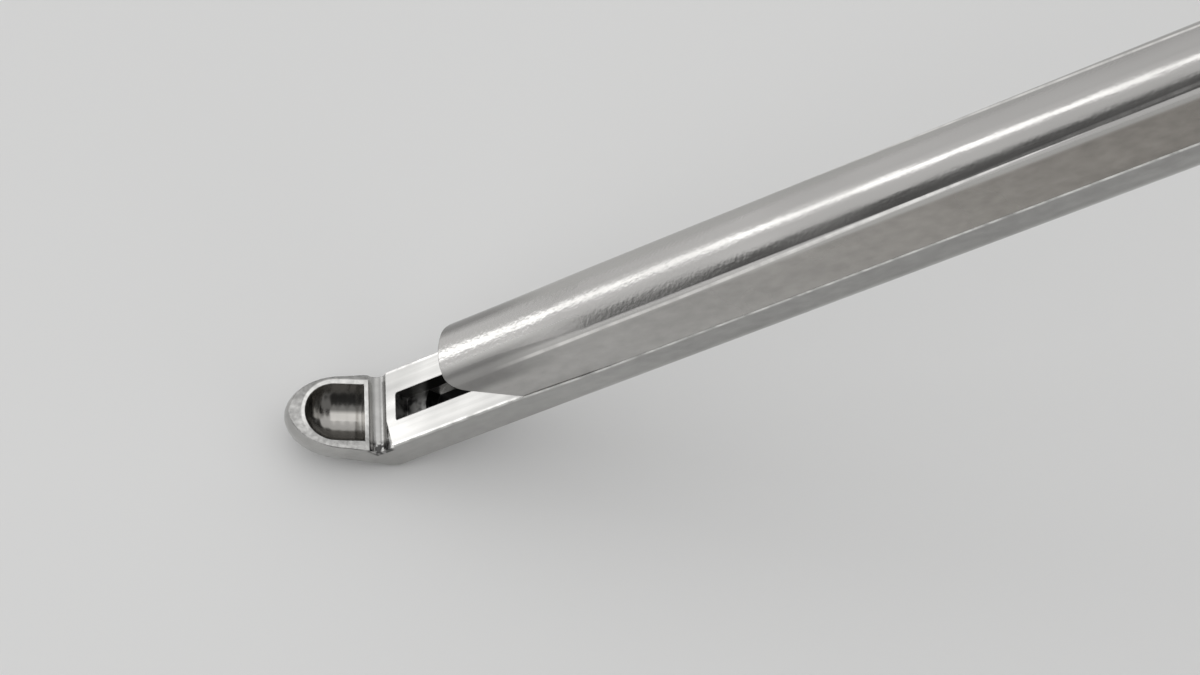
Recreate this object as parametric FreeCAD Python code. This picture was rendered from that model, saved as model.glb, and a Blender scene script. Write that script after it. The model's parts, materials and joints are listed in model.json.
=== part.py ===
"""Kerrison rongeur with its jaw open, leaning on its footplate and the end of its front handle.

Every piece is drawn in the shaft's own frame, in millimetres: X towards the tip, Y across, Z
towards the crown of the slider. The sliding plane is Z = 0 and the flat top of the lower shaft
ends at X = 0. At the end all pieces are turned about Y into the stance, and the origin is put
on the palm side of the rear handle.
"""
import FreeCAD
import Part
import os
from math import asin, atan2, cos, degrees, hypot, radians, sin, sqrt, tan
from FreeCAD import Vector

# Jaw
jaw_angle = 40.0            # slant of the nose and the footplate, in degrees from square
jaw_opening = 10.1          # travel of the slider along the shaft
closed_gap = 0.04           # left between the nose and the footplate when shut
jaw_width = 4.5             # width of the footplate and the nose
groove_width = 0.88         # from the end of the flat top to the footplate's rim
groove_depth = 0.42
rim_rise = 0.44             # height of the rim's foot over the sliding plane
footplate_length = 4.55
footplate_thickness = 1.95
egg_length = 3.36           # from the widest place of the footplate's body to its tip
egg_radius = 2.28
egg_depth = 0.75            # from the footplate's face down to the body's axis
egg_taper = 0.1             # widening towards the heel, per length
footplate_root = 3.4        # from the widest place down into the heel
notch_start = 0.65          # side position where the flat's distal edge starts to slant
notch_reach = 0.4
notch_depth = 0.22
hollow_width = 3.4
hollow_length = 3.3
hollow_depth = 1.25
hollow_foot_rim = 0.22      # rim between the groove and the hollow
heel_radius = 4.0

# Shafts
shaft_width = 4.8
narrow_length = 8.3         # stretch behind the tip that keeps the jaw's width
widening_length = 5.7
lower_height = 3.0
lower_round = 1.4
slide_gap = 0.03
nose_height = 3.42
nose_shoulder = 2.2         # height of the nose's corner centre
nose_shoulder_half = 0.93
nose_corner = 1.1
crown_height = 3.55
crown_shoulder = 2.72
crown_shoulder_half = 1.35
crown_corner = 0.5
nose_hollow_radius = 1.25
nose_hollow_depth = 1.0
nose_hollow_rim = 0.45      # rim under the nose hollow
nose_hollow_run = 0.7

# Guide slot and keels
slot_width = 1.65
slot_start = 0.68
slot_corner = 0.15
ledge_length = 1.35         # shallow floor at the slot's distal end
ledge_depth = 1.0
undercut_width = 2.9
slot_depth = 1.95
keel_length = 10.0
keel_clearance = 0.06
stem_inset = 0.25           # a keel's stem is this much shorter than its head at each end
front_keel_back = 2.9       # from the nose's foot to the front keel
keel_run_out = 0.4
entry_length = 11.0
rear_keel_x = -112.0

# Slider block and link
working_reach = 172.6       # from the flat top's end to the pivot
arm_length = 25.0
link_height = 2.2
block_width = 8.6
block_height = 5.0
block_corner = 0.8
block_shoulder = 3.6
block_lead = 40.0           # from the link to the block's front
block_taper = 8.0
block_tail = 3.4
fork_gap = 4.1
fork_front = 4.4

# Rear handle
cheek_front = 30.0          # from the pivot forward to the fork's front
cheek_back = 11.1           # from the pivot back to the hump behind the slider
cheek_radius = 11.0
gusset_radius = 12.0
fork_lip = 3.0              # fork below the shaft at its front
fork_chamfer = 0.6
shoulder_gap = 0.4
handle_width = 8.6
handle_round = 2.2
spur_reach = 34.2           # from the pivot back to the palm spur's tip centre
spur_radius = 3.0
spur_rise = 1.2             # tip centre over the slider's top
spur_heading = 160.0        # way that the spur points, in degrees from forward
grip_back = 46.2            # from the pivot back to the grip's tip centre
grip_length = 91.4          # from the pivot down to the grip's tip centre
grip_tip_radius = 4.0
rear_tip_heading = -103.0
palm_place = (-39.6, -35.0)  # on the palm side of the grip: forward of the pivot, up
tang_length = 20.0
pin_offsets = ((13.2, -4.6), (20.4, -3.3))  # cross pins: forward of the pivot, height

# Front handle
arm_thickness = 4.0
arm_head_radius = 2.75
pivot_boss_radius = 8.2
hook_reach = 27.4           # from the pivot forward to the hook's tip centre
hook_drop = 88.9            # from the pivot down to the hook's tip centre
hook_radius = 4.3
hook_heading = -12.0

# Screws, pins and springs
pivot_diameter = 5.0
pivot_head_diameter = 9.0
pivot_head_height = 1.2
pivot_nut_diameter = 8.0
link_diameter = 2.2
link_head_diameter = 4.0
link_head_height = 0.9
running_gap = 0.05
seat_gap = 0.015
pin_diameter = 2.0
guide_offset = 26.0         # from the pivot forward to the guide screw
guide_diameter = 2.5
guide_head_diameter = 4.2
guide_head_height = 1.3
guide_thread_diameter = 1.8
guide_thread_length = 4.0
screw_slot_width = 0.8
screw_slot_depth = 0.5
leaf_width = 6.0
leaf_thickness = 0.9
leaf_foot = 13.0
leaf_eye_radius = 1.3
leaf_seat_depth = 0.6
fork_play = 0.3             # beside the tongue of one leaf in the fork of the other
spring_screw_diameter = 3.0
spring_head_diameter = 5.0
spring_head_height = 1.1
spring_screw_length = 4.5
dowel_diameter = 1.6
dowel_length = 3.5

# Worked out from the above
beta = radians(jaw_angle)
face_dir = Vector(sin(beta), 0, cos(beta))
face_out = Vector(-cos(beta), 0, sin(beta))
rim_foot = Vector(groove_width, 0, rim_rise)
nose_x = rim_foot.x - rim_foot.z * tan(beta) - closed_gap - jaw_opening
pivot = Vector(-working_reach, 0, link_height - arm_length)
link = Vector(pivot.x - jaw_opening / 2, 0, link_height)
block_front_x = link.x + block_lead
block_tail_x = link.x - block_tail
fork_x = pivot.x + cheek_front
hump_x = pivot.x - cheek_back
guide_x = pivot.x + guide_offset
half_handle = handle_width / 2


def at(x, z, y=0.0):
    """Point of the shaft's frame, with the side position last."""
    return Vector(x, y, z)


def lines(points):
    """Straight edges through the points."""
    return [Part.LineSegment(a, b).toShape() for a, b in zip(points, points[1:])]


def arc(a, middle, b):
    """Circular edge through three points."""
    return Part.Arc(a, middle, b).toShape()


def from_pivot(places):
    """Points given as (forward, up) offsets from the pivot."""
    return [at(pivot.x + forward, pivot.z + up) for forward, up in places]


def rounded_outline(corners):
    """Closed outline with round corners, from (forward, up, radius) corners beside the pivot."""
    spots = from_pivot([(forward, up) for forward, up, _ in corners])
    turns = []
    for i, spot in enumerate(spots):
        radius = corners[i][2]
        before = (spots[i - 1] - spot).normalize()
        after = (spots[(i + 1) % len(spots)] - spot).normalize()
        half = before.getAngle(after) / 2
        inward = (before + after).normalize() * (radius / sin(half) - radius)
        reach = radius / tan(half)
        turns.append((spot + before * reach, spot + inward, spot + after * reach))
    edges = []
    for i, (start, middle, end) in enumerate(turns):
        edges.append(arc(start, middle, end))
        following = turns[(i + 1) % len(turns)][0]
        if (following - end).Length > 1e-4:
            edges += lines([end, following])
    return edges


def round_end(forward, up, radius, heading):
    """Two corners that close a grip with a half circle, heading in degrees from forward."""
    ahead = cos(radians(heading)) * radius, sin(radians(heading)) * radius
    aside = -ahead[1], ahead[0]
    return [(forward + ahead[0] + side * aside[0], up + ahead[1] + side * aside[1], radius)
            for side in (1, -1)]


def plate(edges, width, centre_y=0.0):
    """Solid of an XZ outline with a width across Y."""
    wire = Part.Wire(Part.__sortEdges__(edges))
    solid = Part.Face(wire).extrude(Vector(0, width, 0))
    solid.translate(Vector(0, centre_y - width / 2, 0))
    return solid


def block(x0, x1, y0, y1, z0, z1):
    """Box between two corners."""
    return Part.makeBox(x1 - x0, y1 - y0, z1 - z0, Vector(x0, y0, z0))


def cross_pin(centre, radius, y0, y1):
    """Cylinder along Y from y0 to y1."""
    return Part.makeCylinder(radius, y1 - y0, Vector(centre.x, y0, centre.z), Vector(0, 1, 0))


def stadium(x0, x1, width, z0, z1):
    """Upright slot solid with round ends, x0 to x1 over all."""
    r = width / 2
    left, right = x0 + r, x1 - r
    edges = lines([Vector(left, r, z0), Vector(right, r, z0)])
    edges.append(arc(Vector(right, r, z0), Vector(x1, 0, z0), Vector(right, -r, z0)))
    edges += lines([Vector(right, -r, z0), Vector(left, -r, z0)])
    edges.append(arc(Vector(left, -r, z0), Vector(x0, 0, z0), Vector(left, r, z0)))
    return Part.Face(Part.Wire(edges)).extrude(Vector(0, 0, z1 - z0))


def round_edges(solid, radius, wanted):
    """Fillet the edges for which wanted(edge) is true."""
    return solid.makeFillet(radius, [e for e in solid.Edges if wanted(e)])


def middle_of(edge):
    """Point half way along an edge."""
    return edge.valueAt((edge.FirstParameter + edge.LastParameter) / 2)


def long_rims(solid, half_width):
    """Edges of a plate that lie on its two side faces."""
    rims = []
    for edge in solid.Edges:
        ends = [v.Point.y for v in edge.Vertexes] + [middle_of(edge).y]
        if all(abs(abs(y) - half_width) < 1e-6 for y in ends) and max(ends) - min(ends) < 1e-6:
            rims.append(edge)
    return rims


def crown_section(x, base_half, shoulder_half, shoulder, corner, height):
    """Slider outline at x: flat base, leaning flanks, round corners and a crowned top."""
    centre = Vector(0, shoulder_half, shoulder)
    crown_radius = (shoulder_half ** 2 + (shoulder - height) ** 2 - corner ** 2) \
        / (2 * (height - shoulder - corner))
    crown_centre = Vector(0, 0, height - crown_radius)
    top_tangent = centre + (centre - crown_centre).normalize() * corner
    base = Vector(0, base_half, slide_gap)
    run = centre - base
    lean = asin(corner / run.Length)
    heading = atan2(run.z, run.y)
    reach = sqrt(run.Length ** 2 - corner ** 2)
    flank_tangent = base + Vector(0, cos(heading - lean), sin(heading - lean)) * reach
    bulge = (top_tangent - centre) + (flank_tangent - centre)
    corner_middle = centre + bulge.normalize() * corner

    def place(v, side=1):
        return Vector(x, side * v.y, v.z)

    edges = [
        Part.LineSegment(place(base, -1), place(base)).toShape(),
        Part.LineSegment(place(base), place(flank_tangent)).toShape(),
        arc(place(flank_tangent), place(corner_middle), place(top_tangent)),
        arc(place(top_tangent), Vector(x, 0, height), place(top_tangent, -1)),
        arc(place(top_tangent, -1), place(corner_middle, -1), place(flank_tangent, -1)),
        Part.LineSegment(place(flank_tangent, -1), place(base, -1)).toShape(),
    ]
    return Part.Wire(edges)


def nose_section(x):
    """Outline of the slider at its nose."""
    return crown_section(x, jaw_width / 2, nose_shoulder_half, nose_shoulder, nose_corner, nose_height)


def shaft_section(x):
    """Outline of the slider along the shaft."""
    return crown_section(x, shaft_width / 2, crown_shoulder_half, crown_shoulder, crown_corner,
                         crown_height)


def block_section(x):
    """Outline of the wide block at the slider's rear end."""
    return crown_section(x, block_width / 2, block_width / 2 - block_corner - 0.1, block_shoulder,
                         block_corner, block_height)


def run_between(first, second):
    """Straight-ruled solid between two outlines."""
    return Part.makeLoft([first, second], True, True)


def face_point(along, out=0.0, y=0.0):
    """Point of the footplate: along its face from the rim's foot, and out of the face."""
    return rim_foot + face_dir * along + face_out * out + Vector(0, y, 0)


def hollow_solid(foot, length, radius, lift, into):
    """Trough with a round end: a cylinder along the slant and a ball at its far end."""
    trough = Part.makeCylinder(radius, length, foot - into * lift, face_dir)
    ball = Part.makeSphere(radius, foot + face_dir * length - into * lift)
    return trough.fuse(ball)


def footplate_profile():
    """XZ edges from the sliding plane round the footplate to the shaft's underside."""
    top_end = at(0, 0)
    chord = rim_foot - top_end
    dip = Vector(chord.z, 0, -chord.x).normalize() * groove_depth
    tip_face = face_point(footplate_length)
    tip_back = face_point(footplate_length, -footplate_thickness)
    back_foot = face_point(0, -footplate_thickness)
    slide_down = (back_foot.z + lower_height) / face_dir.z
    corner = back_foot - face_dir * slide_down
    turn = radians(90 - jaw_angle)
    tangent = heel_radius * tan(turn / 2)
    heel_start = corner + face_dir * tangent
    heel_end = corner - Vector(tangent, 0, 0)
    heel_centre = heel_end + Vector(0, 0, heel_radius)
    heel_middle = heel_centre + (corner - heel_centre).normalize() * heel_radius
    edges = [arc(top_end, top_end + chord * 0.5 + dip, rim_foot)]
    edges += lines([rim_foot, tip_face, tip_back, heel_start])
    edges.append(arc(heel_start, heel_middle, heel_end))
    return edges, heel_end


def lower_side():
    """Side view of the lower shaft with its tang, as a solid wide enough to trim."""
    edges, heel_end = footplate_profile()
    under = -lower_height - fork_lip
    tang_x = fork_x - tang_length
    edges += lines([heel_end, at(fork_x, -lower_height), at(fork_x, under), at(tang_x, under),
                    at(tang_x, 0), at(0, 0)])
    return plate(edges, shaft_width)


def lower_plan():
    """Top view of the lower shaft: narrow jaw, full width, then the thin tang."""
    narrow, wide, thin = jaw_width / 2, shaft_width / 2, fork_gap / 2
    reach = footplate_length * 2
    side = [(reach, narrow), (-narrow_length, narrow), (-narrow_length - widening_length, wide),
            (fork_x, wide), (fork_x, thin), (fork_x - tang_length, thin)]
    points = [Vector(x, y, -20) for x, y in side] + [Vector(x, -y, -20) for x, y in reversed(side)]
    wire = Part.makePolygon(points + points[:1])
    return Part.Face(wire).extrude(Vector(0, 0, 40))


def lower_round_bar():
    """Trimming solid: a bar with round lower corners, and the fork's outline round the tang."""
    half = shaft_width / 2
    bar = block(fork_x, footplate_length * 2, -half, half, -lower_height, 20)
    bar = round_edges(bar, lower_round, lambda e: abs(middle_of(e).z + lower_height) < 1e-6
                      and abs(abs(middle_of(e).y) - half) < 1e-6)
    tang = plate(body_outline(), shaft_width)
    return bar.fuse(tang)


def footplate_body_tool():
    """What is cut off the footplate to leave a body like half an egg, blending into the heel."""
    spread = footplate_root * egg_taper
    half_egg = [Part.Ellipse(Vector(), egg_length, egg_radius).toShape(0, radians(90))]
    half_egg += lines([Vector(0, egg_radius, 0), Vector(-footplate_root, egg_radius + spread, 0),
                       Vector(-footplate_root, 0, 0), Vector(egg_length, 0, 0)])
    egg = Part.Face(Part.Wire(half_egg)).revolve(Vector(), Vector(1, 0, 0), 360)
    reach = jaw_width * 2
    slab = block(-footplate_root, reach, -reach, reach, -reach, egg_depth)
    tool = slab.cut(egg)
    tool.Placement = FreeCAD.Placement(
        face_point(footplate_length - egg_length, -egg_depth),
        FreeCAD.Rotation(face_dir, Vector(0, 1, 0), face_out, "XZY"))
    return tool


def corner_notch():
    """Small wedge off the flat top's distal end, on the near side only."""
    near = jaw_width
    slant = near - notch_start
    back = -notch_reach * slant / (jaw_width / 2 - notch_start)
    plan = [Vector(0, notch_start, -notch_depth), Vector(groove_width / 2, near, -notch_depth),
            Vector(back, near, -notch_depth), Vector(0, notch_start, -notch_depth)]
    return Part.Face(Part.makePolygon(plan)).extrude(Vector(0, 0, notch_depth * 4))


def guide_slot(neck_x0, undercut_x0, undercut_x1, entry_x):
    """Neck, undercut and entry pocket of one keel's T-shaped slot."""
    neck = block(entry_x + undercut_width / 2, neck_x0, -slot_width / 2, slot_width / 2, -ledge_depth, 1)
    neck = round_edges(neck, slot_corner, lambda e: abs(middle_of(e).x - neck_x0) < 1e-6
                       and abs(e.Vertexes[0].Z - e.Vertexes[-1].Z) > ledge_depth / 2)
    deep_neck = stadium(entry_x + stem_inset, undercut_x0 - stem_inset, slot_width, -slot_depth, 1)
    undercut = stadium(entry_x, undercut_x0, undercut_width, -slot_depth, -ledge_depth)
    entry = stadium(entry_x, undercut_x1, undercut_width, -slot_depth, 1)
    return neck.fuse([deep_neck, undercut, entry])


def keel_places():
    """Front end of each keel along the slider, open position."""
    return {"front_keel": nose_x - front_keel_back, "rear_keel": rear_keel_x}


def make_lower_shaft():
    """Fixed shaft: footplate and hollow, flat sliding top, two keel slots and the tang."""
    shaft = lower_side().common(lower_plan()).common(lower_round_bar())
    shaft = shaft.cut(footplate_body_tool()).cut(corner_notch()).removeSplitter()
    chord_half = hollow_width / 2
    radius = (chord_half ** 2 + hollow_depth ** 2) / (2 * hollow_depth)
    straight = hollow_length - chord_half
    hollow = hollow_solid(face_point(hollow_foot_rim), straight, radius,
                          hollow_depth - radius, face_out)
    wall = Part.makeBox(hollow_length * 2, hollow_width * 2, hollow_length * 2)
    wall.translate(Vector(0, -hollow_width, -hollow_length))
    wall.Placement = FreeCAD.Placement(
        face_point(hollow_foot_rim),
        FreeCAD.Rotation(face_dir, Vector(0, 1, 0), face_out, "XZY")).multiply(wall.Placement)
    shaft = shaft.cut(hollow.common(wall))
    for name, front in keel_places().items():
        start = front + jaw_opening + keel_run_out
        neck_start = -slot_start if name == "front_keel" else start
        undercut_start = -slot_start - ledge_length if name == "front_keel" else start
        stop = front - keel_length - keel_run_out
        shaft = shaft.cut(guide_slot(neck_start, undercut_start, stop, stop - entry_length))
    for centre in pin_centres():
        shaft = shaft.cut(cross_pin(centre, pin_diameter / 2 + seat_gap, -shaft_width, shaft_width))
    hole = Part.makeCylinder(guide_thread_diameter / 2 + seat_gap, guide_thread_length + 1,
                             at(guide_x, -guide_thread_length))
    return shaft.cut(hole)


def pin_centres():
    """Places of the two cross pins in the tang."""
    return [at(pivot.x + forward, height) for forward, height in pin_offsets]


def make_shaft_pins():
    """Two cross pins through the fork and the tang."""
    pins = [cross_pin(c, pin_diameter / 2, -half_handle, half_handle) for c in pin_centres()]
    return Part.makeCompound(pins)


def make_upper_shaft():
    """Slider: slanted nose with its hollow, crowned run, wide block with slots and fork."""
    section_change = nose_x - 1.0
    full_x = section_change - widening_length
    block_start = block_front_x + block_taper
    front_x = nose_x + nose_height * tan(beta) + 0.5
    solid = run_between(nose_section(front_x), nose_section(section_change))
    stretches = [(nose_section(section_change), shaft_section(full_x)),
                 (shaft_section(full_x), shaft_section(block_start)),
                 (shaft_section(block_start), block_section(block_front_x)),
                 (block_section(block_front_x), block_section(block_tail_x))]
    solid = solid.fuse([run_between(a, b) for a, b in stretches]).removeSplitter()
    reach = nose_height * 2
    cutter = plate(lines([at(nose_x, 0), at(nose_x + reach * tan(beta), reach),
                          at(nose_x + reach * 2, reach), at(nose_x + reach * 2, -1),
                          at(nose_x - tan(beta), -1), at(nose_x, 0)]), jaw_width * 2)
    solid = solid.cut(cutter)
    foot = at(nose_x, 0) + face_dir * (nose_hollow_radius + nose_hollow_rim)
    lift = nose_hollow_radius - nose_hollow_depth
    solid = solid.cut(hollow_solid(foot, nose_hollow_run, nose_hollow_radius, lift, face_out * -1))
    solid = solid.cut(slider_fork()).cut(slider_guide_slot())
    solid = solid.cut(cross_pin(link, link_diameter / 2 + seat_gap, -block_width, block_width))
    half = block_width / 2
    recess = cross_pin(link, link_head_diameter / 2 + seat_gap, half - link_head_height, half + 1)
    return solid.cut(recess)


def slider_fork():
    """Gap in the slider's rear end for the head of the handle's arm."""
    return block(block_tail_x - 1, link.x + fork_front, -fork_gap / 2, fork_gap / 2, -1, block_height + 1)


def slider_guide_slot():
    """Long slot in the block for the guide screw, stepped for its head."""
    neck_radius = guide_diameter / 2 + running_gap
    head_radius = guide_head_diameter / 2 + running_gap * 2
    ledge = block_height - guide_head_height - running_gap * 2
    neck = stadium(guide_x - jaw_opening - neck_radius, guide_x + neck_radius, neck_radius * 2, -1, ledge)
    head = stadium(guide_x - jaw_opening - head_radius, guide_x + head_radius, head_radius * 2,
                   ledge, block_height + 1)
    return neck.fuse(head)


def make_keel(front):
    """T-shaped keel: a stem up to the slider's underside and a head in the undercut."""
    back = front - keel_length
    stem = stadium(back + stem_inset, front - stem_inset, slot_width - keel_clearance * 2,
                   -ledge_depth - keel_clearance, slide_gap)
    head = stadium(back, front, undercut_width - keel_clearance * 2,
                   -slot_depth + keel_clearance, -ledge_depth - keel_clearance)
    return stem.fuse(head).removeSplitter()


def body_outline():
    """Side view of the fork: flat front, gusset under the shaft and the round pivot end."""
    under = -lower_height - fork_lip
    level = under - pivot.z
    reach = sqrt((cheek_radius + gusset_radius) ** 2 - (level - gusset_radius) ** 2)
    gusset_centre = at(pivot.x + reach, under - gusset_radius)
    to_gusset = (gusset_centre - pivot).normalize()
    gusset_end = pivot + to_gusset * cheek_radius
    gusset_start = at(gusset_centre.x, under)
    half_way = (gusset_start - gusset_centre).normalize() + to_gusset * -1
    gusset_middle = gusset_centre + half_way.normalize() * gusset_radius
    round_back = pivot + polar(-90, cheek_radius)
    edges = lines([round_back, at(round_back.x, block_height), at(fork_x, block_height), at(fork_x, under),
                   gusset_start])
    edges.append(arc(gusset_start, gusset_middle, gusset_end))
    edges.append(arc(gusset_end, pivot + polar(5, cheek_radius), round_back))
    return edges


def rear_grip_outline():
    """Side view of the hump, the palm spur and the grip, closed inside the fork."""
    top = block_height - pivot.z
    spur = round_end(-spur_reach, top + spur_rise, spur_radius, spur_heading)
    tip = round_end(-grip_back, -grip_length, grip_tip_radius, rear_tip_heading)
    corners = [(-7, top, 2), (-20, top + 0.3, 40)] + spur[::-1]
    corners += [(-25.6, top - 17, 18), (palm_place[0] - 2.6, palm_place[1] - 8, 220)] + tip[::-1]
    corners += [(-35.4, -58, 150), (-19.8, -10.5, 30), (-5, -1, 3)]
    return rounded_outline(corners)


def is_fork_underside(edge):
    """True for the fork's rims from its front corner round the pivot end."""
    middle = middle_of(edge)
    straight = abs(middle.z + lower_height + fork_lip) < 1e-6
    return straight or edge.Curve.TypeId == "Part::GeomCircle"


def polar(angle, radius):
    """Offset at an angle in degrees from straight down, forward positive."""
    return Vector(sin(radians(angle)) * radius, 0, -cos(radians(angle)) * radius)


def rear_slot():
    """Gap between the fork's cheeks, closed behind by the hump and the grip's root."""
    back_x = hump_x
    clear = cheek_radius + shoulder_gap
    low_back = pivot + polar(-66, clear)
    edges = lines([at(fork_x + 1, block_height + 1), at(back_x, block_height + 1),
                   at(back_x, pivot.z + clear * 0.7), low_back, pivot + polar(-62, clear * 2),
                   at(pivot.x - clear, pivot.z - clear * 2), at(fork_x + 1, pivot.z - clear * 2),
                   at(fork_x + 1, block_height + 1)])
    return plate(edges, fork_gap)


def make_rear_handle():
    """Fixed handle: forked body with flat cheeks for the slider, palm spur and grip."""
    body = plate(body_outline(), handle_width)
    low = [e for e in long_rims(body, half_handle) if is_fork_underside(e)]
    body = body.makeChamfer(fork_chamfer, low)
    grip = plate(rear_grip_outline(), handle_width)
    grip = grip.makeFillet(handle_round, long_rims(grip, half_handle))
    body = body.fuse(grip)
    top = block(hump_x, fork_x + 1, -handle_width, handle_width, 0, block_height * 2)
    body = body.cut(top).cut(rear_slot())
    body = body.cut(cross_pin(pivot, pivot_diameter / 2 + seat_gap, -handle_width, handle_width))
    head = cross_pin(pivot, pivot_head_diameter / 2 + seat_gap, half_handle - pivot_head_height, handle_width)
    nut = cross_pin(pivot, pivot_nut_diameter / 2 + seat_gap, -handle_width, pivot_head_height - half_handle)
    body = body.cut(head).cut(nut)
    for centre in pin_centres():
        body = body.cut(cross_pin(centre, pin_diameter / 2 + seat_gap, -handle_width, handle_width))
    return cut_spring_seat(body, rear_seat())


def front_grip_outline():
    """Side view of the finger grip with its forward hook, closed inside the pivot boss."""
    hook = round_end(hook_reach, -hook_drop, hook_radius, hook_heading)
    corners = [(-2, -3, 2), (8.4, -5.4, 3), (13.4, -24, 60), (14.2, -48, 160), (17.4, -80, 13)] + hook
    corners += [(12.2, -93.5, 13), (4.6, -40, 60), (-7.4, -13.5, 9)]
    return rounded_outline(corners)


def make_front_handle():
    """Moving handle: finger grip with a forward hook, thin arm, pivot boss and oblong eye."""
    shoulder = cheek_radius + shoulder_gap
    grip = plate(front_grip_outline(), handle_width)
    grip = grip.makeFillet(handle_round, long_rims(grip, half_handle))
    grip = grip.cut(cross_pin(pivot, shoulder, -handle_width, handle_width))
    handle = grip.fuse(arm_plate()).removeSplitter()
    handle = handle.cut(cross_pin(pivot, pivot_diameter / 2 + running_gap, -handle_width, handle_width))
    handle = handle.cut(arm_eye())
    return cut_spring_seat(handle, front_seat())


def arm_plate():
    """Thin arm: boss on the pivot, taper up to the head and neck down into the grip."""
    axis = link - pivot
    lean = axis / axis.Length
    side = Vector(lean.z, 0, -lean.x)
    angle = asin((pivot_boss_radius - arm_head_radius) / axis.Length)

    def tangent(centre, radius, sign):
        return centre + (side * cos(angle) * sign + lean * sin(angle)) * radius

    belt = lines([tangent(pivot, pivot_boss_radius, 1), tangent(link, arm_head_radius, 1)])
    belt.append(arc(tangent(link, arm_head_radius, 1), link + lean * arm_head_radius,
                    tangent(link, arm_head_radius, -1)))
    belt += lines([tangent(link, arm_head_radius, -1), tangent(pivot, pivot_boss_radius, -1)])
    belt.append(arc(tangent(pivot, pivot_boss_radius, -1), pivot - lean * pivot_boss_radius,
                    tangent(pivot, pivot_boss_radius, 1)))
    arm = plate(belt, arm_thickness)
    inner = pivot_boss_radius * 0.8
    outer = cheek_radius + 4
    neck = plate(lines([pivot + polar(44, inner), pivot + polar(34, outer), pivot + polar(-20, outer),
                        pivot + polar(-36, inner), pivot + polar(44, inner)]), arm_thickness)
    return arm.fuse(neck)


def arm_eye():
    """Oblong hole for the link screw, long enough for the arm's swing."""
    axis = link - pivot
    lean = axis / axis.Length
    width = link_diameter / 2 + running_gap * 1.6
    drop = axis.Length - arm_length + running_gap * 2
    ends = [link + lean * running_gap, link - lean * drop]
    side = Vector(lean.z, 0, -lean.x) * width
    corners = [ends[0] + side, ends[1] + side, ends[1] - side, ends[0] - side, ends[0] + side]
    eye = plate(lines(corners), handle_width)
    return eye.fuse([cross_pin(e, width, -half_handle, half_handle) for e in ends])


def slotted_head(centre, radius, height, y_top, sign=1):
    """Low cylinder along Y with a screwdriver slot across its outer face."""
    y0, y1 = sorted((y_top, y_top - sign * height))
    head = cross_pin(centre, radius, y0, y1)
    s0, s1 = sorted((y_top + sign, y_top - sign * screw_slot_depth))
    slot = block(centre.x - radius * 2, centre.x + radius * 2, s0, s1,
                 centre.z - screw_slot_width / 2, centre.z + screw_slot_width / 2)
    return head.cut(slot)


def make_pivot_screw():
    """Shoulder screw of the handle pivot, its head sunk in the near cheek."""
    head = slotted_head(pivot, pivot_head_diameter / 2, pivot_head_height, half_handle)
    shank = cross_pin(pivot, pivot_diameter / 2, pivot_head_height / 2 - half_handle,
                      half_handle - pivot_head_height)
    return head.fuse(shank).removeSplitter()


def make_pivot_nut():
    """Round slotted nut in the far cheek, screwed on the pivot screw's end."""
    nut = slotted_head(pivot, pivot_nut_diameter / 2, pivot_head_height, -half_handle, -1)
    thread = cross_pin(pivot, pivot_diameter / 2 + seat_gap, pivot_head_height / 2 - half_handle, 0)
    return nut.cut(thread)


def make_link_screw():
    """Screw across the slider's fork, through the arm's eye."""
    half = block_width / 2
    head = slotted_head(link, link_head_diameter / 2, link_head_height, half)
    shank = cross_pin(link, link_diameter / 2, -half, half - link_head_height)
    return head.fuse(shank).removeSplitter()


def make_guide_screw():
    """Upright shoulder screw that the slider's long slot runs on."""
    ledge = block_height - guide_head_height
    head = Part.makeCylinder(guide_head_diameter / 2, guide_head_height, at(guide_x, ledge))
    cut = block(guide_x - 0.4, guide_x + 0.4, -guide_head_diameter, guide_head_diameter,
                block_height - screw_slot_depth, block_height + 1)
    shoulder = Part.makeCylinder(guide_diameter / 2, ledge, at(guide_x, 0))
    thread = Part.makeCylinder(guide_thread_diameter / 2, guide_thread_length, at(guide_x, -guide_thread_length))
    return head.cut(cut).fuse([shoulder, thread]).removeSplitter()


def rear_seat():
    """Seat of the rear leaf spring: its middle, the direction up the handle and the way out."""
    low, high = from_pivot([(-39.8, -79), (-34.8, -58)])
    return spring_seat(low, high, 1)


def front_seat():
    """Seat of the front leaf spring on the front handle's inner side."""
    low, high = from_pivot([(9.3, -72), (6.6, -54)])
    return spring_seat(low, high, -1)


def spring_seat(low, high, facing):
    """Seat frame from two points of the handle's inner side; facing is +1 towards the tip."""
    up = (high - low).normalize()
    out = Vector(up.z, 0, -up.x) * facing
    middle = (low + high) * 0.5 - out * leaf_seat_depth
    return middle, up, out


def cut_spring_seat(handle, seat):
    """Mill the flat for a leaf's foot and drill it for the screw and the dowel."""
    middle, up, out = seat
    low, high = middle - up * (leaf_foot / 2), middle + up * leaf_foot
    depth = out * leaf_width
    flat = plate(lines([low, high, high + depth, low + depth, low]), handle_width * 2)
    handle = handle.cut(flat)
    screw, dowel = fastening_points(seat)
    handle = handle.cut(Part.makeCylinder(spring_screw_diameter / 2 + seat_gap, spring_screw_length + 0.2,
                                          screw, out * -1))
    return handle.cut(Part.makeCylinder(dowel_diameter / 2 + seat_gap, dowel_length + 0.2, dowel, out * -1))


def fastening_points(seat):
    """Where the screw and the dowel enter the seat."""
    middle, up, _ = seat
    return middle + up * (leaf_foot * 0.05), middle - up * (leaf_foot * 0.33)


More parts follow.
